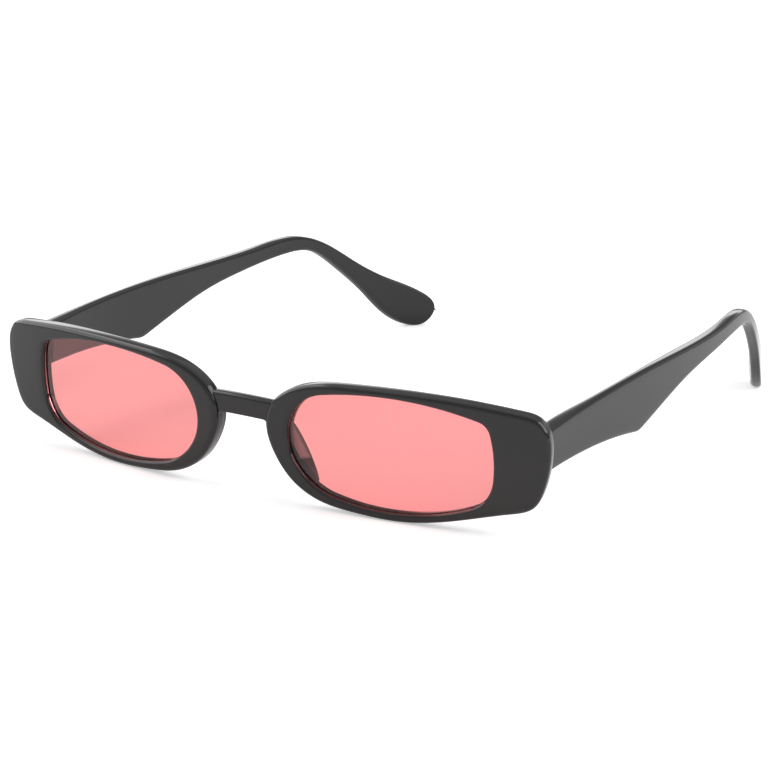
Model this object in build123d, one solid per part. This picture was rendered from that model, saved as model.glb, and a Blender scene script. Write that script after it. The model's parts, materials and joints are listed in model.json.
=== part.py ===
from build123d import *
import os
from math import atan2, degrees, hypot, sqrt

# Narrow rectangle sunglasses with a moulded plastic front and two folding temples.
# Left and right are the wearer's: the left side is at +X, and the front looks along -Y.
# The pieces are modelled upright on the wearer's face, with height zero near the middle
# of the lenses, and are stood on a table at the end.

# Openings for the lenses, drawn flat like the rims
opening_width = 49.2
opening_height = 25.6
opening_corner_shares = [(0.967, 0.182), (0.971, 0.857), (0.04, 0.877), (0.229, 0.059)]
opening_bulge_shares = [0.081, 0.072, 0.253, 0.082]
opening_corner_radius_shares = [0.32, 0.137, 0.414, 0.359]

# Rims round them, drawn flat and then wrapped round the bow
rim_thickness = 3.5
rim_nose_side = 5.0
rim_temple_side = 13.1
rim_above = 1.6
rim_below = 2.1
rim_top = 13.1
rim_spacing = 12.6
rim_outline_shares = [
    (0.999, 0.625),
    (0.971, 0.354),
    (0.939, 0.232),
    (0.853, 0.162),
    (0.659, 0.064),
    (0.48, 0.008),
    (0.317, 0.023),
    (0.175, 0.081),
    (0.09, 0.193),
    (0.027, 0.381),
    (0.0, 0.576),
    (0.01, 0.717),
    (0.06, 0.853),
    (0.141, 0.943),
    (0.299, 0.989),
    (0.502, 0.996),
    (0.703, 0.977),
    (0.897, 0.929),
    (0.963, 0.884),
    (0.991, 0.799),
]
rim_outline_stretches = 6
rim_front_round = 0.9
rim_back_round = 0.5
opening_edge_round = 0.25

# Bow of the front about a vertical axis
bow_radius = 262.0

# Bridge
bridge_top = 6.5
bridge_bottom = 2.2
bridge_arch = 0.25
bridge_setback = 0.9
bridge_thickness = 2.55
bridge_round = 0.7
bridge_root_round = 0.9

# Nose pads, moulded with the rims
pad_depth = 7.4
pad_outset = 6.3
pad_width = 7.2
pad_height = 19.2
pad_drop = 7.9
pad_lean = 27.0
pad_depth_shares = [0.27, 0.46, 0.64, 0.92, 1.0]
pad_outset_shares = [0.53, 0.55, 0.65, 0.94, 1.0]
pad_width_shares = [1.0, 1.0, 0.9, 0.52, 0.28]
pad_height_shares = [1.0, 1.0, 0.95, 0.86, 0.72]
pad_inset = 0.05
pad_turn_start = 4.1
pad_turn_share = 0.24
pad_turn = 11.0

# Lenses
lens_thickness = 2.0
lens_setback = 0.7
lens_seat = 0.55
lens_clearance = 0.05
lens_edge_bevel = 0.3

# Temples, seen from the side
temple_length = 135.2
temple_drop = 35.8
temple_top = 6.9
temple_root_height = 9.2
temple_crown_shares = [
    (0.234, 0.010),
    (0.36, 0.035),
    (0.494, 0.075),
    (0.627, 0.102),
    (0.715, 0.124),
    (0.774, 0.216),
    (0.839, 0.404),
    (0.903, 0.585),
    (0.964, 0.734),
    (0.993, 0.895),
    (0.974, 0.994),
    (0.93, 0.952),
    (0.866, 0.686),
    (0.802, 0.421),
    (0.744, 0.257),
    (0.679, 0.220),
    (0.567, 0.227),
    (0.464, 0.254),
    (0.376, 0.316),
]
temple_flare_share = (0.288, 0.390)
temple_belly_shares = [(0.183, 0.313), (0.101, 0.278)]
temple_flare_round = 5.0

# Temples, seen from above
temple_step = 1.86
temple_bow_shares = [
    (0.198, 0.042),
    (0.42, 0.083),
    (0.641, 0.199),
    (0.789, 0.398),
    (0.901, 0.676),
    (1.022, 1.06),
]
temple_bow = 21.6
temple_root_thickness = 3.6
temple_arm_thickness = 2.9
temple_tip_thickness = 3.5
temple_station_shares = [0, 0.05, 0.11, 0.4, 0.7, 1]
temple_edge_round = 0.8

# End pieces, where the temples close against the front
end_piece_depth = 0.42
butt_gap = 0.06
end_piece_width = 7.0
end_piece_round = 0.5

# Barrel hinges
barrel_count = 3
barrel_radius = 1.1
barrel_height = 1.7
barrel_gap = 0.1
barrel_clearance = 0.15
pin_radius = 0.55
pin_clearance = 0.05
leaf_thickness = 0.75
front_leaf_width = 2.0
front_tang_depth = 2.8
front_tang_height = 3.4
temple_foot_width = 3.0
temple_tang_length = 6.0
tang_barb = 0.25
tang_barb_count = 2
tang_barb_spacing_share = 0.25
tang_barb_gap_share = 0.25
leaf_clearance = 0.03
screw_head_radius = 0.9
screw_head_height = 0.5
screw_slot_width = 0.25
screw_slot_depth = 0.25

# Steps taken to find how the open glasses stand
table_trials = 4

# One overrun serves every cut that has to pass right through
overrun = 2.0

rim_width = rim_nose_side + opening_width + rim_temple_side
rim_height = rim_above + opening_height + rim_below
opening_nose = rim_spacing / 2 + rim_nose_side
opening_bottom = rim_top - rim_above - opening_height
rim_reach = rim_spacing / 2 + rim_width
front_reach = rim_reach * bow_radius / hypot(bow_radius, rim_reach)
temple_root_reach = front_reach - temple_step
rim_back_depth = bow_radius - sqrt((bow_radius - rim_thickness) ** 2 - temple_root_reach**2)
butt_depth = rim_back_depth + end_piece_depth
hinge_height = temple_top - temple_root_height / 2
hinge_reach = temple_root_reach - temple_root_thickness - barrel_radius - barrel_clearance
barrel_stack = barrel_count * barrel_height + (barrel_count - 1) * barrel_gap


def bulged_outline(corners, bulge_shares, radii):
    # Corners are joined by arcs that stand out by a share of their chord, then rounded.
    edges = []
    for start, end, share in zip(corners, corners[1:] + corners[:1], bulge_shares):
        run_x = end[0] - start[0]
        run_z = end[1] - start[1]
        if share == 0:
            edges.append(Line(start, end))
            continue
        middle = (start[0] + run_x / 2 + run_z * share, start[1] + run_z / 2 - run_x * share)
        edges.append(ThreePointArc(start, middle, end))
    outline = make_face(edges)
    for corner, radius in zip(corners, radii):
        nearest = outline.vertices().sort_by_distance((corner[0], corner[1], 0))[0]
        outline = fillet(nearest, radius)
    return outline


def opening_outline():
    corners = []
    for share_x, share_z in opening_corner_shares:
        height = opening_bottom + share_z * opening_height
        corners.append((opening_nose + share_x * opening_width, height))
    radii = [share * opening_height for share in opening_corner_radius_shares]
    return bulged_outline(corners, opening_bulge_shares, radii)


def rim_outline():
    points = []
    for share_x, share_z in rim_outline_shares:
        height = rim_top - rim_height + share_z * rim_height
        points.append((rim_spacing / 2 + share_x * rim_width, height))
    loop = Spline(points, periodic=True)
    ends = [step / rim_outline_stretches for step in range(rim_outline_stretches + 1)]
    return make_face([loop.trim(start, end) for start, end in zip(ends, ends[1:])])


def wrapped(outline):
    # The outline, drawn flat, with walls that run in towards the axis of the bow.
    ends = []
    for depth in (-overrun, butt_depth + rim_thickness):
        share = (bow_radius - depth) / bow_radius
        ends.append(Plane.XZ.offset(-depth) * scale(outline, by=(share, 1, 1)))
    return loft(ends, ruled=True)


def bowed_layer(start, end):
    # The space between two depths behind the bowed front surface.
    height = 2 * rim_height
    ring = Circle(bow_radius - start) - Circle(bow_radius - end)
    return extrude(Plane.XY * Location((0, bow_radius, 0)) * ring, amount=height / 2, both=True)


def front_and_back(body):
    bowed = body.faces().filter_by(GeomType.CYLINDER).sort_by(SortBy.AREA)[-2:]
    return sorted(bowed, key=lambda face: face.center().Y)


def left_rim():
    body = (wrapped(rim_outline()) - wrapped(opening_outline())) & bowed_layer(0, rim_thickness)
    body = fillet(front_and_back(body)[0].outer_wire().edges(), rim_front_round)
    body = fillet(front_and_back(body)[1].outer_wire().edges(), rim_back_round)
    body = fillet(front_and_back(body)[0].inner_wires()[0].edges(), opening_edge_round)
    return body


def lens_outline(margin):
    return offset(opening_outline(), margin)


def left_lens():
    body = wrapped(lens_outline(lens_seat)) & bowed_layer(lens_setback, lens_setback + lens_thickness)
    for face in front_and_back(body):
        body = chamfer(face.outer_wire().edges(), lens_edge_bevel)
    return body


def lens_groove():
    layer = bowed_layer(lens_setback - lens_clearance, lens_setback + lens_thickness + lens_clearance)
    return wrapped(lens_outline(lens_seat + lens_clearance)) & layer


def bridge_outline():
    # The bar between the rims, with round corners where it meets them below.
    half = rim_spacing / 2 + rim_thickness
    arcs = []
    for middle in (bridge_top, bridge_bottom):
        low = middle - bridge_arch
        arcs.append(ThreePointArc((-half, low), (0, middle), (half, low)))
    top, bottom = arcs
    bar = make_face([top, bottom, Line(top @ 0, bottom @ 0), Line(top @ 1, bottom @ 1)])
    rim = rim_outline()
    joined = bar + rim + mirror(rim, about=Plane.YZ)
    joined = fillet(joined.vertices().sort_by(Axis.Y)[:2], bridge_root_round)
    webs = joined & Pos(0, bridge_bottom) * Rectangle(2 * half, 2 * bridge_root_round + bridge_arch)
    return bar + webs


def bridge():
    body = wrapped(bridge_outline()) & bowed_layer(bridge_setback, bridge_setback + bridge_thickness)
    long_edges = [edge for edge in body.edges() if edge.center().Z > bridge_top - bridge_round]
    long_edges = [edge for edge in long_edges if edge.bounding_box().size.X > rim_spacing]
    return fillet(long_edges, bridge_round)


def left_pad():
    # A lobe that runs back from the rim beside the nose, flares away from it and closes in a dome.
    sections = []
    shares = zip(pad_depth_shares, pad_outset_shares, pad_width_shares, pad_height_shares)
    for depth_share, outset_share, width_share, height_share in shares:
        reach = rim_spacing / 2 + outset_share * pad_outset
        origin = (reach, depth_share * pad_depth, bridge_bottom - pad_drop)
        place = Plane(origin, x_dir=(1, 0, 0), z_dir=(0, -1, 0))
        oval = Ellipse(width_share * pad_width / 2, height_share * pad_height / 2)
        sections.append(place * Rot(0, 0, pad_lean) * oval)
    return loft(sections) & wrapped(offset(rim_outline(), -pad_inset))


def nose_cut():
    # What is cut from the left pad, so that its wall turns away from the nose behind the rim.
    middle = rim_spacing / 2 + pad_turn_share * rim_width
    low = rim_top - rim_height
    slope = pad_turn / (pad_depth - pad_turn_start)
    sections = []
    for depth in (0, pad_turn_start, pad_depth + overrun):
        turn = Rot(0, 0, -slope * (depth - pad_turn_start))
        turned = Pos(middle, low) * turn * Pos(-middle, -low) * rim_outline()
        sections.append(Plane.XZ.offset(-depth) * turned)
    top = bridge_bottom - bridge_arch
    size = (middle, pad_depth, top - low)
    room = Pos(middle / 2, size[1] / 2, top - size[2] / 2) * Box(*size)
    return room - loft(sections, ruled=True)


def hinge_place(across, back, up):
    # A point given from the hinge's axis: outwards, backwards and up.
    return Location((hinge_reach + across, butt_depth + back, hinge_height + up))


def block(across, back, up):
    # A box between pairs of distances from the hinge's axis.
    size = [high - low for low, high in (across, back, up)]
    return hinge_place(*[sum(pair) / 2 for pair in (across, back, up)]) * Box(*size)


def upright(radius, low, high):
    return hinge_place(0, 0, (low + high) / 2) * Cylinder(radius, high - low)


def left_end_piece():
    outer = temple_root_reach - hinge_reach
    across = (outer - end_piece_width, outer)
    height = (-temple_root_height / 2, temple_root_height / 2)
    body = block(across, (-rim_thickness, 0), height)
    rails = body.edges().filter_by(Axis.Y)
    return fillet(rails, end_piece_round)


def front_tang():
    # The leaf lies in the end piece's back face and its barbed tang runs forwards.
    leaf = block((-front_leaf_width, 0), (-leaf_thickness, 0), (-barrel_stack / 2, barrel_stack / 2))
    tang_side = (-front_leaf_width, -front_leaf_width + leaf_thickness)
    tang = block(tang_side, (-front_tang_depth, 0), (-front_tang_height / 2, front_tang_height / 2))
    return leaf + tang + barbs(tang_side, front_tang_depth, front_tang_height, -1)


def barbs(side, length, height, direction):
    # Teeth above and below a tang, which keep it in the plastic.
    teeth = []
    pitch = length * tang_barb_spacing_share
    gap = pitch * tang_barb_gap_share
    for step in range(tang_barb_count):
        start = direction * (length - step * pitch - gap)
        end = direction * (length - (step + 1) * pitch + gap)
        size = height / 2 + tang_barb / (step + 1)
        teeth.append(block(side, sorted((start, end)), (-size, size)))
    return teeth


def left_front_hinge():
    body = front_tang()
    body += upright(barrel_radius, -barrel_stack / 2, barrel_stack / 2)
    middle = barrel_height / 2 + barrel_gap
    room = barrel_radius + barrel_clearance
    body -= block((-room, room), (-room, room), (-middle, middle))
    body -= upright(pin_radius + pin_clearance, -barrel_stack, barrel_stack)
    return body


def temple_tang(clearance):
    # The middle barrel's foot lies in the temple's end and its barbed tang runs back inside.
    height = barrel_height / 2 + clearance
    foot = block(
        (0, temple_foot_width + clearance),
        (2 * butt_gap - clearance, 2 * butt_gap + leaf_thickness + clearance),
        (-height, height),
    )
    side = (temple_foot_width - leaf_thickness - clearance, temple_foot_width + clearance)
    tang = block(side, (2 * butt_gap, temple_tang_length + clearance), (-height, height))
    return foot + tang


def temple_pocket():
    # Room in the temple's end for the foot, the tang and its teeth.
    side = (temple_foot_width - leaf_thickness - leaf_clearance, temple_foot_width + leaf_clearance)
    size = barrel_height / 2 + tang_barb + leaf_clearance
    teeth_room = block(side, (2 * butt_gap, temple_tang_length + leaf_clearance), (-size, size))
    return temple_tang(leaf_clearance) + teeth_room


def left_temple_hinge():
    body = temple_tang(0)
    side = (temple_foot_width - leaf_thickness, temple_foot_width)
    body += barbs(side, temple_tang_length, barrel_height, 1)
    body += upright(barrel_radius, -barrel_height / 2, barrel_height / 2)
    body -= upright(pin_radius + pin_clearance, -barrel_stack, barrel_stack)
    return body


def left_hinge_screw():
    top = barrel_stack / 2
    body = upright(pin_radius, -top, top) + upright(screw_head_radius, top, top + screw_head_height)
    slot_floor = top + screw_head_height - screw_slot_depth
    width = screw_slot_width / 2
    slot = block((-barrel_radius, barrel_radius), (-width, width), (slot_floor, slot_floor + overrun))
    return body - slot


def hinge_pocket():
    # Room in the end piece for the barrels, the leaf and its tang.
    low = -barrel_stack / 2 - barrel_gap
    high = barrel_stack / 2 + screw_head_height + barrel_gap
    body = upright(barrel_radius + barrel_clearance, low, high)
    spare = leaf_clearance
    leaf_size = barrel_stack / 2 + spare
    body += block((-front_leaf_width - spare, 0), (-leaf_thickness - spare, overrun), (-leaf_size, leaf_size))
    side = (-front_leaf_width - spare, -front_leaf_width + leaf_thickness + spare)
    tang_size = front_tang_height / 2 + tang_barb + spare
    body += block(side, (-front_tang_depth - spare, 0), (-tang_size, tang_size))
    return body


def temple_side_outline():
    def point(share):
        return (butt_depth + butt_gap + share[0] * temple_length, temple_top - share[1] * temple_drop)

    root_top = point((0, 0))
    root_bottom = (root_top[0], root_top[1] - temple_root_height)
    flare = point(temple_flare_share)
    crown = Spline([root_top] + [point(share) for share in temple_crown_shares] + [flare])
    belly = Spline([flare] + [point(share) for share in temple_belly_shares] + [root_bottom])
    outline = make_face([crown, belly, Line(root_bottom, root_top)])
    corner = outline.vertices().sort_by_distance((flare[0], flare[1], 0))[0]
    return fillet(corner, temple_flare_round)


def temple_plan_outline():
    # The outer line from above, and the inner line at the arm's own thickness from it.
    start = butt_depth + butt_gap
    points = [(temple_root_reach, start)]
    for share_along, share_in in temple_bow_shares:
        reach = temple_root_reach - share_in * temple_bow
        points.append((reach, start + share_along * temple_length))
    outer = Spline(points)
    thickness = [temple_root_thickness] * 2 + [temple_arm_thickness] * 3 + [temple_tip_thickness]
    inner_points = []
    for station, wall in zip(temple_station_shares, thickness):
        run = outer % station
        side = Vector(-run.Y, run.X, 0)
        inner_points.append(outer @ station + side * wall)
    inner = Spline(inner_points)
    return make_face([outer, inner, Line(outer @ 0, inner @ 0), Line(outer @ 1, inner @ 1)])


def left_temple():
    side = extrude(Plane.YZ * temple_side_outline(), amount=temple_root_reach + overrun)
    plan = extrude(temple_plan_outline(), amount=temple_drop + temple_root_height, both=True)
    body = side & plan
    faces = body.faces().sort_by(SortBy.AREA)[-2:]
    rails = []
    for face in faces:
        for edge in face.outer_wire().edges():
            if edge.center().Y > butt_depth + overrun:
                rails.append(edge)
    body = fillet(rails, temple_edge_round)
    return body - temple_pocket()


def left_half():
    front = left_rim() + left_pad() + left_end_piece() - nose_cut() - lens_groove() - hinge_pocket()
    return {
        "front_frame": front,
        "lens": left_lens(),
        "temple": left_temple(),
        "front_hinge": left_front_hinge(),
        "temple_hinge": left_temple_hinge(),
        "hinge_screw": left_hinge_screw(),
    }


def sunglasses():
    half = left_half()
    rim = half.pop("front_frame")
    pieces = {"front_frame": rim + mirror(rim, about=Plane.YZ) + bridge()}
    for name, piece in half.items():
        pieces[name + "_left"] = piece
        pieces[name + "_right"] = mirror(piece, about=Plane.YZ)
    return pieces


def low_point(piece):
    return piece.bounding_box().min.Z


def table_place(pieces):
    # The turn and shift that stand the open glasses on their rims and temple tips,
    # with the middle of the footprint at the origin.
    lean = 0
    for trial in range(table_trials):
        turn = Rot(lean, 0, 0)
        rise = low_point(turn * pieces["front_frame"]) - low_point(turn * pieces["temple_left"])
        lean += degrees(atan2(rise, temple_length))
    turned = [Rot(lean, 0, 0) * pieces[name] for name in ("front_frame", "temple_left")]
    boxes = [piece.bounding_box() for piece in turned]
    back = max(box.max.Y for box in boxes)
    front = min(box.min.Y for box in boxes)
    low = min(box.min.Z for box in boxes)
    return Pos(0, -(front + back) / 2, -low) * Rot(lean, 0, 0)


if __name__ == "__main__":
    parts = sunglasses()
    place = table_place(parts)
    os.makedirs("parts", exist_ok=True)
    for name, piece in parts.items():
        print(name, len(piece.solids()), round(piece.volume, 1))
        export_step(place * piece, f"parts/{name}.step")
    pivot = place * hinge_place(0, 0, 0)
    print("left hinge at", pivot.position, "turned", pivot.orientation)
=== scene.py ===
import json
from math import atan2, cos, hypot, pi, radians, sin

import bmesh
import bpy
import numpy as np
from mathutils import Matrix, Vector


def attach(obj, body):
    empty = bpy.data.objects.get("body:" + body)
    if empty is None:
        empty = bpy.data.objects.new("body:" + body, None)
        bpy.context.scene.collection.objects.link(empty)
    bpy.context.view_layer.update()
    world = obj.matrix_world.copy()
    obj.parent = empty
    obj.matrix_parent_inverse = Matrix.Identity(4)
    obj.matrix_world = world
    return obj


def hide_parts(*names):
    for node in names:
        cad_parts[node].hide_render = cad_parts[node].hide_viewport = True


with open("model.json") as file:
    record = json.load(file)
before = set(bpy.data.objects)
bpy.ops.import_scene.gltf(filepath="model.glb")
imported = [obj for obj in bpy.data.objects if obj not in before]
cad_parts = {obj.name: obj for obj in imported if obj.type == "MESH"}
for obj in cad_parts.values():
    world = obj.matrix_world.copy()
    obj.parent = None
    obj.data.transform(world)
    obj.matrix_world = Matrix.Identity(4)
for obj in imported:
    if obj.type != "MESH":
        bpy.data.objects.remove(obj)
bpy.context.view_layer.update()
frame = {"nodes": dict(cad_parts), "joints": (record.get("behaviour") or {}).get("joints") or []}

# Lengths are in millimetres in the upright face frame, and go to the table frame at the end.
mm = 0.001

# Sizes that several pieces follow
shared = {
    "bowRadius": 262.0,
    "rimThickness": 3.5,
    "rimSpacing": 12.6,
    "rimTop": 13.1,
    "hingeAxis": (64.147, 13.298, 2.3),
    "loopPoints": 264,
    "turnWeight": 9.0,       # draws the points of a loop together where it turns
    "merge": 1e-4,
    "sharpAngle": 34,
}


def tablePlace():
    # The left temple's joint says how the upright face frame stands on the table.
    joint = next(j for j in frame["joints"] if j["name"] == "temple_left_fold")
    lean = atan2(-joint["axis"][1], joint["axis"][2])
    turn = Matrix.Rotation(lean, 4, "X")
    shift = Vector(joint["pos_m"]) - turn @ (Vector(shared["hingeAxis"]) * mm)
    return Matrix.Translation(shift) @ turn @ Matrix.Scale(mm, 4)


faceToRow = tablePlace()


# Flat outlines

def unit(rows):
    return rows / np.linalg.norm(rows, axis=1)[:, None]


def turned(x, y, angle):
    return np.stack([x * cos(angle) - y * sin(angle), x * sin(angle) + y * cos(angle)], -1)


def runAlong(line):
    # How far along an open line each of its points is.
    return np.concatenate([[0], np.cumsum(np.linalg.norm(np.diff(line, axis=0), axis=1))])


def pointsAt(places, run, line):
    return np.stack([np.interp(places, run, line[:, k]) for k in (0, 1)], -1)


def splineThrough(points, closed=False, steps=24):
    # A cubic spline through the points, spaced by their chords, as a dense line.
    p = np.array(points, float)
    if closed:
        p = np.vstack([p, p[:1]])
    t = runAlong(p)
    h = np.diff(t)
    slope = np.diff(p, axis=0) / h[:, None]
    n = len(p)
    a = np.zeros((n, n))
    b = np.zeros((n, 2))
    for i in range(1, n - 1):
        a[i, i - 1 : i + 2] = h[i], 2 * (h[i - 1] + h[i]), h[i - 1]
        b[i] = 3 * (h[i] * slope[i - 1] + h[i - 1] * slope[i])
    if closed:
        a[0, 0], a[0, 1], a[0, n - 2] = 2 * (h[0] + h[-1]), h[-1], h[0]
        b[0] = 3 * (h[0] * slope[-1] + h[-1] * slope[0])
        a[n - 1, 0], a[n - 1, n - 1] = 1, -1
    else:
        near = 4             # points that give each end its direction
        for end, part in ((0, slice(0, near)), (n - 1, slice(n - near, n))):
            a[end, end] = 1
            for k in (0, 1):
                b[end, k] = np.polyfit(t[part] - t[end], p[part, k], near - 1)[-2]
    m = np.linalg.solve(a, b)
    line = []
    for i in range(n - 1):
        u = np.linspace(0, 1, steps, endpoint=False)[:, None]
        line.append((2 * u**3 - 3 * u**2 + 1) * p[i] + (u**3 - 2 * u**2 + u) * h[i] * m[i]
                    + (3 * u**2 - 2 * u**3) * p[i + 1] + (u**3 - u**2) * h[i] * m[i + 1])
    line = np.vstack(line)
    return line if closed else np.vstack([line, p[-1:]])


def arcPoints(centre, start, end, step):
    # Points on the short arc from start to end.
    first = atan2(start[1] - centre[1], start[0] - centre[0])
    turn = (atan2(end[1] - centre[1], end[0] - centre[0]) - first + pi) % (2 * pi) - pi
    radius = hypot(start[0] - centre[0], start[1] - centre[1])
    count = max(2, int(abs(turn) * radius / step))
    angles = first + turn * np.arange(count) / count
    return np.stack([centre[0] + radius * np.cos(angles), centre[1] + radius * np.sin(angles)], -1)


def bulgedOutline(corners, bulges, radii, step=0.1):
    # Corners joined by arcs that stand out by a share of their chord, then rounded.
    arcs = []
    for start, end, share in zip(corners, corners[1:] + corners[:1], bulges):
        start, end = np.array(start), np.array(end)
        chord = np.linalg.norm(end - start)
        side = np.array([end[1] - start[1], start[0] - end[0]]) / chord
        rise = share * chord
        radius = (chord**2 / 4 + rise**2) / (2 * rise)
        arcs.append(((start + end) / 2 + side * (rise - radius), radius))
    rounds = []
    for i, (corner, radius) in enumerate(zip(corners, radii)):
        # The round's centre is where both arcs, drawn in by its radius, cross
        (c1, r1), (c2, r2) = arcs[i - 1], arcs[i]
        q1, q2 = r1 - radius, r2 - radius
        gap = np.linalg.norm(c2 - c1)
        along = (gap**2 + q1**2 - q2**2) / (2 * gap)
        across = max(q1**2 - along**2, 0) ** 0.5
        axis = (c2 - c1) / gap
        side = np.array([-axis[1], axis[0]])
        choices = [c1 + axis * along + side * across, c1 + axis * along - side * across]
        centre = min(choices, key=lambda c: np.linalg.norm(c - np.array(corner)))
        touch = [c + (centre - c) / np.linalg.norm(centre - c) * r
                 for c, r in (arcs[i - 1], arcs[i])]
        rounds.append((centre, touch))
    line = []
    for i, (centre, touch) in enumerate(rounds):
        if radii[i] > 0:
            line.append(arcPoints(centre, touch[0], touch[1], step))
        nextTouch = rounds[(i + 1) % len(rounds)][1][0]
        line.append(arcPoints(arcs[i][0], touch[1], nextTouch, step))
    return np.vstack(line)


def outwardNormals(line):
    run = unit(np.roll(line, -1, axis=0) - np.roll(line, 1, axis=0))
    x, y = line.T
    turn = np.sign(np.sum(x * np.roll(y, -1) - y * np.roll(x, -1)))
    return np.stack([run[:, 1], -run[:, 0]], -1) * turn


def evenPoints(line, count):
    # Points along a closed line, closer together where it turns, with their outward normals.
    normals = outwardNormals(line)
    step = np.linalg.norm(np.roll(line, -1, axis=0) - line, axis=1)
    bend = np.linalg.norm(np.roll(normals, -1, axis=0) - normals, axis=1)
    weight = np.concatenate([[0], np.cumsum(step + shared["turnWeight"] * bend)])
    places = np.arange(count) / count * weight[-1]
    points = pointsAt(places, weight, np.vstack([line, line[:1]]))
    return points, unit(pointsAt(places, weight, np.vstack([normals, normals[:1]])))


def castOnto(points, rays, line):
    # Where each ray first meets a closed line, with the line's outward normal there.
    tiny = 1e-12             # for a ray that runs beside a stretch of the line
    normals = outwardNormals(line)
    nextNormals = np.roll(normals, -1, axis=0)
    run = np.roll(line, -1, axis=0) - line
    hits = []
    ends = []
    for point, ray in zip(points, rays):
        gap = line - point
        cross = ray[0] * run[:, 1] - ray[1] * run[:, 0]
        cross = np.where(abs(cross) < tiny, tiny, cross)
        far = (gap[:, 0] * run[:, 1] - gap[:, 1] * run[:, 0]) / cross
        share = (gap[:, 0] * ray[1] - gap[:, 1] * ray[0]) / cross
        far[(share < 0) | (share > 1) | (far <= 0)] = np.inf
        i = int(far.argmin())
        hits.append(point + ray * far[i])
        ends.append(normals[i] * (1 - share[i]) + nextNormals[i] * share[i])
    return np.array(hits), unit(np.array(ends))


def quarterRound(radius, steps):
    # Inset and depth along a quarter round, from a face over to its wall.
    for step in range(steps + 1):
        angle = pi / 2 * step / steps
        yield radius * (1 - sin(angle)), radius * (1 - cos(angle))


# Mesh helpers

def bowed(x, depth, z):
    # A flat drawing's point, wrapped round the bow at a depth behind the front surface.
    radius = shared["bowRadius"]
    share = (radius - depth) / hypot(radius, x)
    return Vector((x * share, radius - radius * share, z))


def finishMesh(bm, name, merge=shared["merge"]):
    bmesh.ops.remove_doubles(bm, verts=bm.verts, dist=merge)
    bmesh.ops.dissolve_degenerate(bm, edges=bm.edges, dist=merge)
    bmesh.ops.recalc_face_normals(bm, faces=bm.faces)
    mesh = bpy.data.meshes.new(name)
    bm.to_mesh(mesh)
    bm.free()
    obj = bpy.data.objects.new(name, mesh)
    bpy.context.scene.collection.objects.link(obj)
    return obj


def ringEdges(bm, ring):
    return [bm.edges.get(pair) for pair in zip(ring, ring[1:] + ring[:1])]


def numberRings(bm, ordered):
    # Extruding leaves vertices, edges and faces in no set order, so each run would differ.
    def place(element):
        numbers = [v.index for v in element.verts]
        return min(numbers) * len(ordered) + max(numbers)

    for number, vert in enumerate(ordered):
        vert.index = number
    bm.verts.sort()
    bm.edges.sort(key=place)
    bm.faces.sort(key=place)


def ringSolid(rings, name, capped=True, merge=shared["merge"]):
    # Rings of equal point count, each extruded from the last; without caps the last meets
    # the first.
    bm = bmesh.new()
    ring = [bm.verts.new(point) for point in rings[0]]
    ordered = list(ring)
    for pair in zip(ring, ring[1:] + ring[:1]):
        bm.edges.new(pair)
    if capped:
        bmesh.ops.contextual_create(bm, geom=ringEdges(bm, ring))
    for points in rings[1:]:
        made = bmesh.ops.extrude_edge_only(bm, edges=ringEdges(bm, ring))["geom"]
        fresh = {v for v in made if isinstance(v, bmesh.types.BMVert)}
        ring = [next(e.other_vert(v) for e in v.link_edges if e.other_vert(v) in fresh)
                for v in ring]
        for vert, point in zip(ring, points):
            vert.co = point
        ordered += ring
    if capped:
        bmesh.ops.contextual_create(bm, geom=ringEdges(bm, ring))
    numberRings(bm, ordered)
    return finishMesh(bm, name, merge)


def boxShape(low, high):
    low, high = Vector(low), Vector(high)
    bm = bmesh.new()
    bmesh.ops.create_cube(bm, size=1)
    bmesh.ops.scale(bm, vec=high - low, verts=bm.verts)
    bmesh.ops.translate(bm, vec=(low + high) / 2, verts=bm.verts)
    return bm


def mirrorCopy(obj, name):
    bm = bmesh.new()
    bm.from_mesh(obj.data)
    bmesh.ops.scale(bm, vec=(-1, 1, 1), verts=bm.verts)
    return finishMesh(bm, name)


def booleanWith(obj, other, operation):
    # One solid from two, and the second is used up.
    change = obj.modifiers.new("join", "BOOLEAN")
    change.operation = operation
    change.solver = "EXACT"
    change.object = other
    bpy.context.view_layer.update()
    settled = obj.evaluated_get(bpy.context.evaluated_depsgraph_get())
    shape = bpy.data.meshes.new_from_object(settled)
    obj.modifiers.clear()
    obj.data = shape
    bpy.data.objects.remove(other)


def placePiece(obj, body, material, replaced):
    obj.data.transform(faceToRow)
    obj.data.materials.clear()
    obj.data.materials.append(material)
    obj.data.shade_smooth()
    obj.data.set_sharp_from_angle(angle=radians(shared["sharpAngle"]))
    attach(obj, body)
    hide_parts(replaced)


# Materials

polishInputs = {
    "Drift Scale": 90.0,
    "Gloss Low": 0.05,
    "Gloss High": 0.1,
    "Ripple Scale": 260.0,
    "Ripple": 0.02,
}
polishNoise = {"driftDetail": 5, "rippleDetail": 1, "rippleDepth": 0.0004}
plasticLook = {
    "shader": {"Base Color": (0.008, 0.007, 0.007, 1), "IOR": 1.5},
    "polish": {"Gloss Low": 0.05, "Gloss High": 0.11, "Ripple": 0.015},
}
tintLook = {
    "shader": {
        "Base Color": (0.985, 0.335, 0.335, 1),
        "IOR": 1.5,
        "Roughness": 0.0,
        "Transmission Weight": 1.0,
    },
    "shadow": (0.97, 0.84, 0.84, 1),
}
steelPolish = {"Drift Scale": 900.0, "Ripple": 0.05}
hingeLook = {
    "shader": {"Base Color": (0.58, 0.57, 0.56, 1), "Metallic": 1.0},
    "polish": {**steelPolish, "Gloss Low": 0.22, "Gloss High": 0.42},
}
screwLook = {
    "shader": {"Base Color": (0.72, 0.72, 0.73, 1), "Metallic": 1.0},
    "polish": {**steelPolish, "Gloss Low": 0.1, "Gloss High": 0.2},
}


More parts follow.
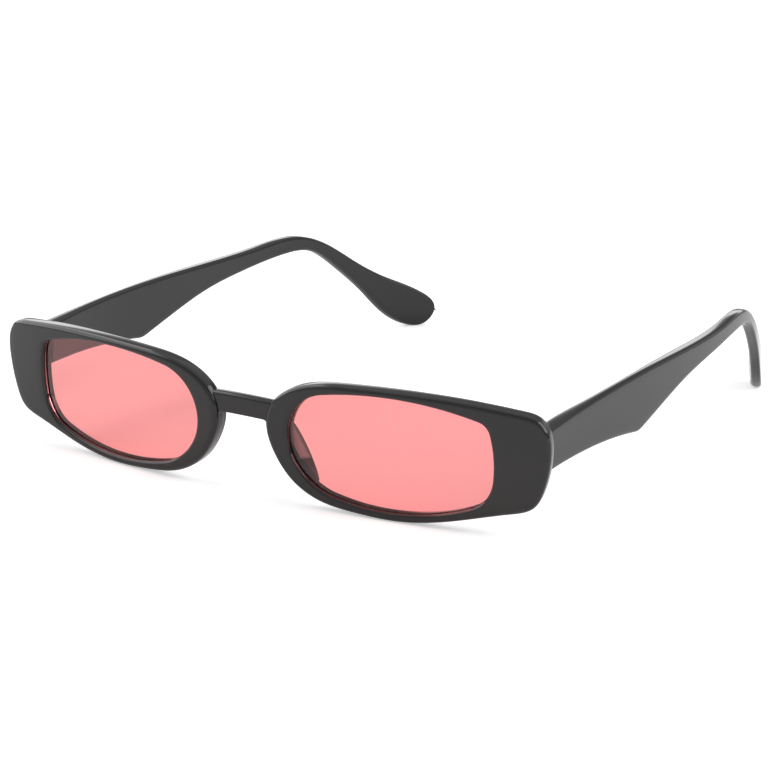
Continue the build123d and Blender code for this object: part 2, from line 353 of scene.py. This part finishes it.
def newGroup(name, inputs, outputs):
    group = bpy.data.node_groups.new(name, "ShaderNodeTree")
    for label, value in inputs.items():
        socket = group.interface.new_socket(label, in_out="INPUT", socket_type="NodeSocketFloat")
        socket.default_value = value
    for label, kind in outputs.items():
        group.interface.new_socket(label, in_out="OUTPUT", socket_type=kind)
    return group, group.nodes.new("NodeGroupInput"), group.nodes.new("NodeGroupOutput")


def polishGroup():
    # A faint drift in the gloss and the slow ripple that a mould leaves.
    kinds = {"Roughness": "NodeSocketFloat", "Normal": "NodeSocketVector"}
    group, inputs, outputs = newGroup("polish", polishInputs, kinds)
    nodes, links = group.nodes, group.links
    place = nodes.new("ShaderNodeTexCoord")
    drift = nodes.new("ShaderNodeTexNoise")
    drift.inputs["Detail"].default_value = polishNoise["driftDetail"]
    span = nodes.new("ShaderNodeMapRange")
    ripple = nodes.new("ShaderNodeTexNoise")
    ripple.inputs["Detail"].default_value = polishNoise["rippleDetail"]
    bump = nodes.new("ShaderNodeBump")
    bump.inputs["Distance"].default_value = polishNoise["rippleDepth"]
    links.new(place.outputs["Object"], drift.inputs["Vector"])
    links.new(place.outputs["Object"], ripple.inputs["Vector"])
    links.new(inputs.outputs["Drift Scale"], drift.inputs["Scale"])
    links.new(inputs.outputs["Ripple Scale"], ripple.inputs["Scale"])
    links.new(inputs.outputs["Gloss Low"], span.inputs["To Min"])
    links.new(inputs.outputs["Gloss High"], span.inputs["To Max"])
    links.new(inputs.outputs["Ripple"], bump.inputs["Strength"])
    links.new(drift.outputs["Fac"], span.inputs["Value"])
    links.new(ripple.outputs["Fac"], bump.inputs["Height"])
    links.new(span.outputs["Result"], outputs.inputs["Roughness"])
    links.new(bump.outputs["Normal"], outputs.inputs["Normal"])
    return group


polish = polishGroup()


def newMaterial(name, settings):
    material = bpy.data.materials.new(name)
    material.use_nodes = True
    shader = material.node_tree.nodes["Principled BSDF"]
    for socket, value in settings.items():
        shader.inputs[socket].default_value = value
    return material, material.node_tree, shader


def polished(name, look):
    material, tree, shader = newMaterial(name, look["shader"])
    skin = tree.nodes.new("ShaderNodeGroup")
    skin.node_tree = polish
    for socket, value in look["polish"].items():
        skin.inputs[socket].default_value = value
    tree.links.new(skin.outputs["Roughness"], shader.inputs["Roughness"])
    tree.links.new(skin.outputs["Normal"], shader.inputs["Normal"])
    return material


def lensTint():
    material, tree, shader = newMaterial("lensTint", tintLook["shader"])
    # Lamp light passes the lens, so its shadow on the table is a pink one
    clear = tree.nodes.new("ShaderNodeBsdfTransparent")
    clear.inputs["Color"].default_value = tintLook["shadow"]
    path = tree.nodes.new("ShaderNodeLightPath")
    mix = tree.nodes.new("ShaderNodeMixShader")
    output = tree.nodes["Material Output"]
    tree.links.new(path.outputs["Is Shadow Ray"], mix.inputs["Fac"])
    tree.links.new(shader.outputs["BSDF"], mix.inputs[1])
    tree.links.new(clear.outputs["BSDF"], mix.inputs[2])
    tree.links.new(mix.outputs["Shader"], output.inputs["Surface"])
    return material


plastic = polished("framePlastic", plasticLook)
tint = lensTint()
hingeSteel = polished("hingeSteel", hingeLook)
screwSteel = polished("screwSteel", screwLook)
print("materials made")


# The rims: an outline, an opening and the section between them

opening = {
    "width": 49.2,
    "height": 25.6,
    "cornerShares": [(0.967, 0.182), (0.971, 0.857), (0.04, 0.877), (0.229, 0.059)],
    "bulges": [0.081, 0.072, 0.253, 0.082],
    "radiusShares": [0.32, 0.137, 0.414, 0],
    "edgeRound": 0.7,
    "roundSteps": 5,
}
rim = {
    "noseSide": 5.0,
    "templeSide": 13.1,
    "above": 1.6,
    "below": 2.1,
    "outlineShares": [
        (0.999, 0.625), (0.971, 0.354), (0.939, 0.232), (0.853, 0.162), (0.659, 0.064),
        (0.48, 0.008), (0.317, 0.023), (0.175, 0.081), (0.09, 0.193), (0.027, 0.381),
        (0.0, 0.576), (0.01, 0.717), (0.06, 0.853), (0.141, 0.943), (0.299, 0.989),
        (0.502, 0.996), (0.703, 0.977), (0.897, 0.929), (0.963, 0.884), (0.991, 0.799),
    ],
    "frontRound": 1.1,
    "backRound": 0.8,
    "leastFace": 0.15,
    "faceSteps": 6,
    "roundSteps": 6,
    "merge": 2e-3,
}


def openingLine():
    left = shared["rimSpacing"] / 2 + rim["noseSide"]
    low = shared["rimTop"] - rim["above"] - opening["height"]
    corners = [(left + a * opening["width"], low + b * opening["height"])
               for a, b in opening["cornerShares"]]
    radii = [share * opening["height"] for share in opening["radiusShares"]]
    return bulgedOutline(corners, opening["bulges"], radii)


def rimWidth():
    return rim["noseSide"] + opening["width"] + rim["templeSide"]


def rimLow():
    return shared["rimTop"] - rim["above"] - opening["height"] - rim["below"]


def rimLine():
    left, low = shared["rimSpacing"] / 2, rimLow()
    height = shared["rimTop"] - low
    spots = [(left + a * rimWidth(), low + b * height) for a, b in rim["outlineShares"]]
    return splineThrough(spots, closed=True)


def rimSection():
    # Round the section: share from opening to rim, offset at either end, and depth.
    thick = shared["rimThickness"]
    edge, front, back = opening["edgeRound"], rim["frontRound"], rim["backRound"]
    shares = [step / rim["faceSteps"] for step in range(rim["faceSteps"])]
    frontRound = list(quarterRound(front, rim["roundSteps"]))
    backRound = list(quarterRound(back, rim["roundSteps"]))
    edgeRound = list(quarterRound(edge, opening["roundSteps"]))
    rows = [(share, edge, -front, 0) for share in shares]
    rows += [(1, 0, -inset, depth) for inset, depth in frontRound]
    rows += [(1, 0, -inset, thick - depth) for inset, depth in reversed(backRound)]
    rows += [(share, 0, -back, thick) for share in reversed(shares)]
    rows += [(0, inset, 0, depth) for inset, depth in reversed(edgeRound)]
    return rows


def buildRim():
    inner, innerNormals = evenPoints(openingLine(), shared["loopPoints"])
    outer, outerNormals = castOnto(inner, innerNormals, rimLine())
    # The rounds shrink together where the rim is too narrow to leave a face between them
    widths = np.linalg.norm(outer - inner, axis=1)
    rounds = opening["edgeRound"] + rim["frontRound"]
    fit = np.minimum(1, (widths - rim["leastFace"]) / rounds)[:, None]
    rings = []
    for share, near, far, depth in rimSection():
        start = inner + innerNormals * near * fit
        end = outer + outerNormals * far * fit
        flat = start * (1 - share) + end * share
        rings.append([bowed(x, depth, z) for x, z in flat])
    return ringSolid(rings, "frontShape", capped=False, merge=rim["merge"])


# The bridge between the rims

bridge = {
    "top": 6.5,
    "bottom": 2.2,
    "arch": 0.25,
    "setback": 0.9,
    "thickness": 2.55,
    "round": 0.7,
    "rootRound": 0.9,
    "rootInset": 0.06,
    "stations": 61,
    "roundSteps": 5,
}


def buildBridge():
    half = shared["rimSpacing"] / 2 + shared["rimThickness"]
    wall = shared["rimSpacing"] / 2 + bridge["rootInset"]
    root, radius, depth = bridge["rootRound"], bridge["round"], bridge["thickness"]
    angles = np.linspace(0, pi / 2, bridge["roundSteps"] + 1)
    rings = []
    for x in np.linspace(-half, half, bridge["stations"]):
        sag = bridge["arch"] * (x / half) ** 2
        top = bridge["top"] - sag
        into = min(max(abs(x) - (wall - root), 0), root)
        low = bridge["bottom"] - sag - (root - (root**2 - into**2) ** 0.5)
        middle = (low + top) / 2
        section = [(0, low), (0, middle)]
        section += [(radius - radius * cos(a), top - radius + radius * sin(a)) for a in angles]
        section += [(depth - radius + radius * sin(a), top - radius + radius * cos(a))
                    for a in angles]
        section += [(depth, middle), (depth, low)]
        rings.append([bowed(x, bridge["setback"] + d, z) for d, z in section])
    return ringSolid(rings, "bridgeShape")


# The left nose pad, as a stack of leaning ovals that the rim's line trims

pad = {
    "depth": 7.4,
    "outset": 6.3,
    "width": 7.2,
    "height": 19.2,
    "drop": 7.9,
    "lean": 27.0,
    "inset": 0.05,
    "turnStart": 4.1,
    "turnShare": 0.24,
    "turn": 11.0,
    "depthShares": [0.27, 0.46, 0.64, 0.92, 1.0],
    "outsetShares": [0.53, 0.55, 0.65, 0.94, 1.0],
    "widthShares": [1.0, 1.0, 0.9, 0.52, 0.28],
    "heightShares": [1.0, 1.0, 0.95, 0.86, 0.72],
    "closing": [(0.93, 0.08), (0.8, 0.15), (0.6, 0.2), (0.35, 0.23), (0.1, 0.24)],
    "points": 96,
    "steps": 7,
    "smoothings": 6,
    "merge": 1e-3,
}


def within(point, centre, line):
    # A point drawn back towards the centre until it is inside a closed line.
    ray = point - centre
    reach = np.linalg.norm(ray)
    hit, _ = castOnto([centre], [ray / reach], line)
    return centre + ray * min(1, np.linalg.norm(hit[0] - centre) / reach)


def turnedRim(line, depth):
    # The rim's line, turned away from the nose at depths behind the rim.
    behind = max(0, depth - pad["turnStart"])
    angle = -radians(pad["turn"] * behind / (pad["depth"] - pad["turnStart"]))
    across = shared["rimSpacing"] / 2 + pad["turnShare"] * rimWidth()
    pivot = np.array([across, rimLow()])
    x, z = (line - pivot).T
    return pivot + turned(x, z, angle)


def padOvals():
    # Depth, outset and half sizes of the pad's ovals, eased between the given ones.
    shares = zip(pad["depthShares"], pad["outsetShares"], pad["widthShares"], pad["heightShares"])
    given = [np.array([d * pad["depth"], o * pad["outset"],
                       w * pad["width"] / 2, h * pad["height"] / 2]) for d, o, w, h in shares]
    dense = [given[0]]
    for a, b in zip(given, given[1:]):
        dense += [a + (b - a) * (step + 1) / pad["steps"] for step in range(pad["steps"])]
    dense = np.array(dense)
    for _ in range(pad["smoothings"]):
        dense[1:-1] = (dense[:-2] + 2 * dense[1:-1] + dense[2:]) / 4
    return dense


def buildPad():
    line = rimLine()
    line = line - outwardNormals(line) * pad["inset"]
    lean = radians(pad["lean"])
    angles = np.arange(pad["points"]) / pad["points"] * 2 * pi
    ovals = padOvals()
    rows = [(oval, 1, 0) for oval in ovals]
    rows += [(ovals[-1], share, rise) for share, rise in pad["closing"]]
    fullRise = pad["closing"][-1][1]
    rings = []
    for (depth, outset, wide, tall), share, rise in rows:
        centre = np.array([shared["rimSpacing"] / 2 + outset, bridge["bottom"] - pad["drop"]])
        edge = turnedRim(line, depth)
        narrowed = 1 - depth / shared["bowRadius"]
        points = []
        for angle in angles:
            spot = centre + turned(share * wide * cos(angle), share * tall * sin(angle), lean)
            x, z = within(spot, centre, edge)
            points.append(Vector((x * narrowed, depth + rise - fullRise, z)))
        rings.append(points)
    return ringSolid(rings, "padShape", merge=pad["merge"])


# The left end piece and the room in it for the hinge

endPiece = {"width": 7.0, "height": 9.2, "reach": 68.997, "round": 0.5, "roundSteps": 4}
hinge = {
    "barrelRadius": 1.1,
    "stack": 5.3,
    "gap": 0.1,
    "room": 0.15,
    "leafWidth": 2.0,
    "leafThickness": 0.75,
    "leafRoom": 0.03,
    "leafReach": 2.0,
    "headHeight": 0.5,
    "segments": 48,
}


def fromAxis(across, back, up):
    axis = shared["hingeAxis"]
    return Vector((axis[0] + across, axis[1] + back, axis[2] + up))


def buildEndPiece():
    outer = endPiece["reach"] - shared["hingeAxis"][0]
    tall = endPiece["height"] / 2
    low = fromAxis(outer - endPiece["width"], -shared["rimThickness"], -tall)
    bm = boxShape(low, fromAxis(outer, 0, tall))
    # Only the edges that run from front to back are rounded
    rails = [e for e in bm.edges
             if abs(e.verts[0].co.y - e.verts[1].co.y) > endPiece["round"]]
    bmesh.ops.bevel(bm, geom=rails, offset=endPiece["round"], segments=endPiece["roundSteps"],
                    profile=0.5, affect="EDGES", material=-1)
    return finishMesh(bm, "endShape")


def buildHingePocket():
    # Room in the end piece for the barrels and for the leaf.
    low = -hinge["stack"] / 2 - hinge["gap"]
    high = hinge["stack"] / 2 + hinge["headHeight"] + hinge["gap"]
    radius = hinge["barrelRadius"] + hinge["room"]
    bm = bmesh.new()
    bmesh.ops.create_cone(bm, cap_ends=True, segments=hinge["segments"],
                          radius1=radius, radius2=radius, depth=high - low)
    bmesh.ops.translate(bm, vec=fromAxis(0, 0, (low + high) / 2), verts=bm.verts)
    barrel = finishMesh(bm, "barrelRoom")
    spare = hinge["leafRoom"]
    tall = hinge["stack"] / 2 + spare
    corner = fromAxis(-hinge["leafWidth"] - spare, -hinge["leafThickness"] - spare, -tall)
    leaf = boxShape(corner, fromAxis(0, hinge["leafReach"], tall))
    booleanWith(barrel, finishMesh(leaf, "leafRoom"), "UNION")
    return barrel


# Lenses and the groove that holds them

lens = {
    "thickness": 1.7,
    "setback": 1.0,
    "seat": 0.55,
    "clearance": 0.05,
    "bevel": 0.3,
    "faceSteps": 12,
    "centreShare": 0.02,
}


def buildDisc(offset, front, back, bevel, name):
    # The opening's outline, grown by an offset, as a bowed disc between two depths.
    line, normals = evenPoints(openingLine(), shared["loopPoints"])
    centre = line.mean(axis=0)
    steps, least = lens["faceSteps"], lens["centreShare"]
    shares = [least + (1 - least) * step / steps for step in range(steps + 1)]
    rows = [(share, offset - bevel, front) for share in shares]
    if bevel:
        rows += [(1, offset, front + bevel), (1, offset, back - bevel)]
    rows += [(share, offset - bevel, back) for share in reversed(shares)]
    rings = []
    for share, grow, depth in rows:
        flat = centre + (line + normals * grow - centre) * share
        rings.append([bowed(x, depth, z) for x, z in flat])
    return ringSolid(rings, name)


def buildGroove():
    spare = lens["clearance"]
    front = lens["setback"] - spare
    back = lens["setback"] + lens["thickness"] + spare
    return buildDisc(lens["seat"] + spare, front, back, 0, "grooveRoom")


def buildLens():
    front = lens["setback"]
    return buildDisc(lens["seat"], front, front + lens["thickness"], lens["bevel"], "lensLeft")


def buildFront():
    # The left half is joined with its mirror image, and the bridge closes the gap.
    shape = buildRim()
    booleanWith(shape, buildPad(), "UNION")
    end = buildEndPiece()
    booleanWith(end, buildHingePocket(), "DIFFERENCE")
    booleanWith(shape, end, "UNION")
    booleanWith(shape, buildGroove(), "DIFFERENCE")
    booleanWith(shape, mirrorCopy(shape, "rightHalf"), "UNION")
    booleanWith(shape, buildBridge(), "UNION")
    shape.name = "frontMoulding"
    placePiece(shape, "front", plastic, "front_frame")


buildFront()
print("front built")

leftLens = buildLens()
rightLens = mirrorCopy(leftLens, "lensRight")
placePiece(leftLens, "front", tint, "lens_left")
placePiece(rightLens, "front", tint, "lens_right")
print("lenses built")


# Temples: a side outline carried along a bowed plan

temple = {
    "start": 13.358,
    "length": 135.2,
    "drop": 35.8,
    "top": 6.9,
    "rootHeight": 9.2,
    "crownShares": [
        (0.234, 0.010), (0.36, 0.035), (0.494, 0.075), (0.627, 0.102), (0.715, 0.124),
        (0.774, 0.216), (0.839, 0.404), (0.903, 0.585), (0.964, 0.734), (0.993, 0.895),
        (0.974, 0.994), (0.93, 0.952), (0.866, 0.686), (0.802, 0.421), (0.744, 0.257),
        (0.679, 0.220), (0.567, 0.227), (0.464, 0.254), (0.376, 0.316),
    ],
    "tipIndex": 10,
    "flareShare": (0.288, 0.390),
    "bellyShares": [(0.183, 0.313), (0.101, 0.278)],
    "flareRound": 5.0,
    "flareSteps": 24,
    "flareLook": 3,          # points to either side that give the corner's directions
    "rootReach": 68.997,
    "bowShares": [
        (0.198, 0.042), (0.42, 0.083), (0.641, 0.199), (0.789, 0.398), (0.901, 0.676),
        (1.022, 1.06),
    ],
    "bow": 21.6,
    "stationShares": [0, 0.05, 0.11, 0.4, 0.7, 1],
    "thicknesses": [3.6, 3.6, 2.9, 2.9, 2.9, 3.5],
    "edgeRound": 0.8,
    "sideRound": 1.0,
    "neckShare": 0.7,
    "neckLead": 3.0,
    "stations": [36, 44, 76],
    "faceSteps": 8,
    "roundSteps": 5,
    "lineSteps": 60,
    "slopeReach": 0.05,
    "slopeShare": 0.002,
    "footWidth": 3.0,
    "footHeight": 1.7,
    "footDepth": 0.9,
    "footRoom": 0.03,
    "footOverrun": 1.0,
    "merge": 1e-3,
}


def nearest(line, spot):
    # Which point of the line is nearest to a spot.
    return int(np.linalg.norm(line - np.array(spot), axis=1).argmin())


def roundCorner(line, spot, radius):
    # Replaces a corner of an open line with a round of about this radius.
    i = nearest(line, spot)
    before = line[i] - line[i - temple["flareLook"]]
    after = line[i + temple["flareLook"]] - line[i]
    turn = atan2(after[1], after[0]) - atan2(before[1], before[0])
    turn = abs((turn + pi) % (2 * pi) - pi)
    reach = radius * np.tan(turn / 2)
    run = runAlong(line)
    start, end = pointsAt(run[i] - reach, run, line), pointsAt(run[i] + reach, run, line)
    u = np.linspace(0, 1, temple["flareSteps"])[:, None]
    curve = start * (1 - u) ** 2 + line[i] * 2 * u * (1 - u) + end * u**2
    return np.vstack([line[run < run[i] - reach], curve, line[run > run[i] + reach]])


def along(line, start, end, count, ease=False):
    # Evenly spaced points of an open line between two of its own points, with its normals.
    run = runAlong(line)
    share = np.linspace(0, 1, count, endpoint=False)
    if ease:
        share = np.sin(share * pi / 2)
    places = run[start] + (run[end] - run[start]) * share
    ahead = pointsAt(places + temple["slopeReach"], run, line)
    behind = pointsAt(places - temple["slopeReach"], run, line)
    d = unit(ahead - behind)
    return pointsAt(places, run, line), np.stack([d[:, 1], -d[:, 0]], -1)


def templeLines():
    # The side outline's upper and lower lines from the root to the tip, and the flare's corner.
    def spot(share):
        return (temple["start"] + share[0] * temple["length"],
                temple["top"] - share[1] * temple["drop"])

    steps = temple["lineSteps"]
    rootTop = spot((0, 0))
    rootLow = (rootTop[0], rootTop[1] - temple["rootHeight"])
    flare = spot(temple["flareShare"])
    crown = splineThrough([rootTop] + [spot(s) for s in temple["crownShares"]] + [flare],
                          steps=steps)
    belly = splineThrough([flare] + [spot(s) for s in temple["bellyShares"]] + [rootLow],
                          steps=steps)
    tip = temple["tipIndex"] * steps
    top = crown[: tip + 1]
    under = np.vstack([belly[::-1], crown[::-1][1 : len(crown) - tip]])
    return top, roundCorner(under, flare, temple["flareRound"]), flare


def templePlan():
    # The outer and inner lines seen from above, apart by the arm's thickness.
    reach, start = temple["rootReach"], temple["start"]
    spots = [(reach, start)]
    spots += [(reach - b * temple["bow"], start + a * temple["length"])
              for a, b in temple["bowShares"]]
    outer = splineThrough(spots, steps=temple["lineSteps"])
    run = runAlong(outer)
    run /= run[-1]
    near = temple["slopeShare"]
    inner = []
    for share, thick in zip(temple["stationShares"], temple["thicknesses"]):
        d = pointsAt(min(share + near, 1), run, outer) - pointsAt(max(share - near, 0), run, outer)
        d /= np.linalg.norm(d)
        inner.append(pointsAt(share, run, outer) + np.array([-d[1], d[0]]) * thick)
    return outer, splineThrough(inner, steps=temple["lineSteps"])


def templeStations():
    # Pairs of points across the side outline, with the way inwards from each.
    top, under, flare = templeLines()
    neck = temple["start"] + temple["neckShare"] * temple["length"]
    topCuts = [0, nearest(top[:, :1], [flare[0]]), nearest(top[:, :1], [neck]), len(top) - 1]
    underNeck = nearest(under[:, :1], [neck - temple["neckLead"]])
    underCuts = [0, nearest(under, flare), underNeck, len(under) - 1]
    spans = []
    for i, count in enumerate(temple["stations"]):
        last = i == len(temple["stations"]) - 1
        t, tn = along(top, topCuts[i], topCuts[i + 1], count, last)
        b, bn = along(under, underCuts[i], underCuts[i + 1], count, last)
        spans.append((t, tn, b, -bn))
    topLine, topIn, lowLine, lowIn = [np.vstack(part) for part in zip(*spans)]
    end = top[-1]
    endIn = (topLine[-1] + lowLine[-1]) / 2 - end
    endIn /= np.linalg.norm(endIn)
    return list(zip(topLine, topIn, lowLine, lowIn)) + [(end, endIn, end, endIn)]


def templeRing(station, outer, inner):
    # Up the outer face, over the top edge, down the inner face and back under the lower edge.
    t, tn, b, bn = station
    radius = temple["edgeRound"]
    shares = [step / temple["faceSteps"] for step in range(temple["faceSteps"] + 1)]
    rounds = [(inset, depth * temple["sideRound"] / radius)
              for inset, depth in quarterRound(radius, temple["roundSteps"])][1:]

    def outside(flat, depth=0):
        return Vector((np.interp(flat[0], outer[:, 1], outer[:, 0]) - depth, flat[0], flat[1]))

    def inside(flat, depth=0):
        return Vector((np.interp(flat[0], inner[:, 1], inner[:, 0]) + depth, flat[0], flat[1]))

    high, low = t + tn * radius, b + bn * radius
    ring = [outside(low * (1 - share) + high * share) for share in shares]
    ring += [outside(t + tn * inset, depth) for inset, depth in rounds]
    ring += [inside(t + tn * inset, depth) for inset, depth in reversed(rounds)]
    ring += [inside(high * (1 - share) + low * share) for share in shares]
    ring += [inside(b + bn * inset, depth) for inset, depth in rounds]
    ring += [outside(b + bn * inset, depth) for inset, depth in reversed(rounds)]
    return ring


def buildTemple():
    outer, inner = templePlan()
    rings = [templeRing(station, outer, inner) for station in templeStations()]
    piece = ringSolid(rings, "templeLeft", merge=temple["merge"])
    # A slot in the root takes the foot of the hinge
    spare = temple["footRoom"]
    high = temple["footHeight"] / 2 + spare
    corner = fromAxis(0, -temple["footOverrun"], -high)
    slot = boxShape(corner, fromAxis(temple["footWidth"] + spare, temple["footDepth"], high))
    booleanWith(piece, finishMesh(slot, "footRoom"), "DIFFERENCE")
    return piece


leftTemple = buildTemple()
rightTemple = mirrorCopy(leftTemple, "templeRight")
placePiece(leftTemple, "temple_left", plastic, "temple_left")
placePiece(rightTemple, "temple_right", plastic, "temple_right")
print("temples built")


# Hinges and their screws stay as the frame's own solids

for name, node in frame["nodes"].items():
    if "hinge" in name:
        node.data.materials.clear()
        node.data.materials.append(screwSteel if "screw" in name else hingeSteel)
print("hinges finished")


# Table, light and camera, in metres

studio = {
    "tableSize": 12.0,
    "tableSegments": 8,
    "tableColour": (0.9, 0.9, 0.9, 1),
    "tableRoughness": 0.9,
    "white": (1, 1, 1, 1),
    "seenGlow": 0.44,        # to the camera
    "mirroredGlow": 0.17,    # in the gloss and through the lenses
    "roomGlow": 1.0,
    "roomDiffuse": 0.25,
    "sweepStops": [          # how steeply a ray climbs, up to 1, and the brightness there
        (0.0, 0.55), (0.15, 0.6), (0.25, 1.0), (0.37, 1.0), (0.43, 0.35), (0.85, 0.5),
    ],
}
lamps = {
    "overhead": {
        "place": (-0.05, 0.1, 1.0), "aim": (0, 0.0, 0.01), "size": (1.8, 1.5), "power": 3.7,
    },
    "backdrop": {
        "place": (-0.6, 1.1, 0.375), "aim": (0, 0, 0.02), "size": (1.6, 0.27), "power": 2.1,
    },
    "leftSide": {
        "place": (-0.5, -0.1, 0.32), "aim": (-0.06, -0.05, 0.01), "size": (0.7, 0.5), "power": 2.0,
    },
    "rightSide": {
        "place": (0.45, 0.12, 0.3), "aim": (0.1, 0.06, 0.0), "size": (0.5, 0.4), "power": 2.0,
    },
}
view = {
    "azimuth": 32.901,
    "elevation": 15.541,
    "roll": 0.878,
    "eye": (0.401384, -0.638683, 0.217822),
    "focal": 158.908,
    "sensor": 36.0,
}


def mathNode(tree, operation, values, clamp=False):
    # Each value is a number or another node's output.
    node = tree.nodes.new("ShaderNodeMath")
    node.operation = operation
    node.use_clamp = clamp
    for socket, value in zip(node.inputs, values):
        if isinstance(value, bpy.types.NodeSocket):
            tree.links.new(value, socket)
        else:
            socket.default_value = value
    return node.outputs["Value"]


def buildTable():
    bm = bmesh.new()
    segments = studio["tableSegments"]
    bmesh.ops.create_grid(bm, x_segments=segments, y_segments=segments,
                          size=studio["tableSize"] / 2)
    table = finishMesh(bm, "table")
    look = {
        "Base Color": studio["tableColour"],
        "Roughness": studio["tableRoughness"],
        "Specular IOR Level": 0.0,
        "Emission Color": studio["white"],
    }
    material, tree, shader = newMaterial("table", look)
    path = tree.nodes.new("ShaderNodeLightPath").outputs
    glow = mathNode(tree, "MULTIPLY", [path["Is Camera Ray"], studio["seenGlow"]])
    glow = mathNode(tree, "MULTIPLY_ADD", [path["Is Glossy Ray"], studio["mirroredGlow"], glow])
    tree.links.new(glow, shader.inputs["Emission Strength"])
    table.data.materials.append(material)


def buildRoom():
    # White to the camera and through the lenses, dim as a light on the object, and a
    # white sweep below a darker ceiling in the gloss.
    world = bpy.data.worlds.new("room")
    bpy.context.scene.world = world
    world.use_nodes = True
    tree = world.node_tree
    background = tree.nodes["Background"]
    background.inputs["Color"].default_value = studio["white"]
    path = tree.nodes.new("ShaderNodeLightPath").outputs
    plain = tree.nodes.new("ShaderNodeMapRange")
    plain.inputs["To Min"].default_value = studio["roomGlow"]
    plain.inputs["To Max"].default_value = studio["roomDiffuse"]
    tree.links.new(path["Is Diffuse Ray"], plain.inputs["Value"])
    place = tree.nodes.new("ShaderNodeTexCoord")
    split = tree.nodes.new("ShaderNodeSeparateXYZ")
    tree.links.new(place.outputs["Generated"], split.inputs["Vector"])
    sweep = tree.nodes.new("ShaderNodeValToRGB")
    stops = sweep.color_ramp.elements
    for height, _ in studio["sweepStops"][2:]:      # a new ramp has two stops
        stops.new(height)
    for stop, (height, level) in zip(stops, studio["sweepStops"]):
        stop.position, stop.color = height, (level, level, level, 1)
    tree.links.new(split.outputs["Z"], sweep.inputs["Fac"])
    # A ray that has passed a lens counts as glossy too, and is taken off again
    rays = [path["Is Glossy Ray"], path["Is Transmission Ray"]]
    mirrored = mathNode(tree, "SUBTRACT", rays, clamp=True)
    mix = tree.nodes.new("ShaderNodeMix")
    tree.links.new(mirrored, mix.inputs["Factor"])
    tree.links.new(plain.outputs["Result"], mix.inputs["A"])
    tree.links.new(sweep.outputs["Color"], mix.inputs["B"])
    tree.links.new(mix.outputs["Result"], background.inputs["Strength"])


def addLamp(name, values):
    light = bpy.data.lights.new(name, "AREA")
    light.shape = "RECTANGLE"
    light.size, light.size_y = values["size"]
    light.energy = values["power"]
    lamp = bpy.data.objects.new(name, light)
    lamp.location = values["place"]
    aim = Vector(values["aim"]) - Vector(values["place"])
    lamp.rotation_euler = aim.to_track_quat("-Z", "Y").to_euler()
    bpy.context.scene.collection.objects.link(lamp)


def addCamera():
    azimuth, elevation = radians(view["azimuth"]), radians(view["elevation"])
    turn = (Matrix.Rotation(azimuth, 4, "Z") @ Matrix.Rotation(pi / 2 - elevation, 4, "X")
            @ Matrix.Rotation(radians(view["roll"]), 4, "Z"))
    data = bpy.data.cameras.new("camera")
    data.sensor_width = view["sensor"]
    data.lens = view["focal"]
    camera = bpy.data.objects.new("camera", data)
    camera.matrix_world = Matrix.Translation(view["eye"]) @ turn
    bpy.context.scene.collection.objects.link(camera)
    bpy.context.scene.camera = camera


buildTable()
buildRoom()
for name, values in lamps.items():
    addLamp(name, values)
addCamera()
bpy.context.scene.view_settings.view_transform = "Standard"
print("studio set")
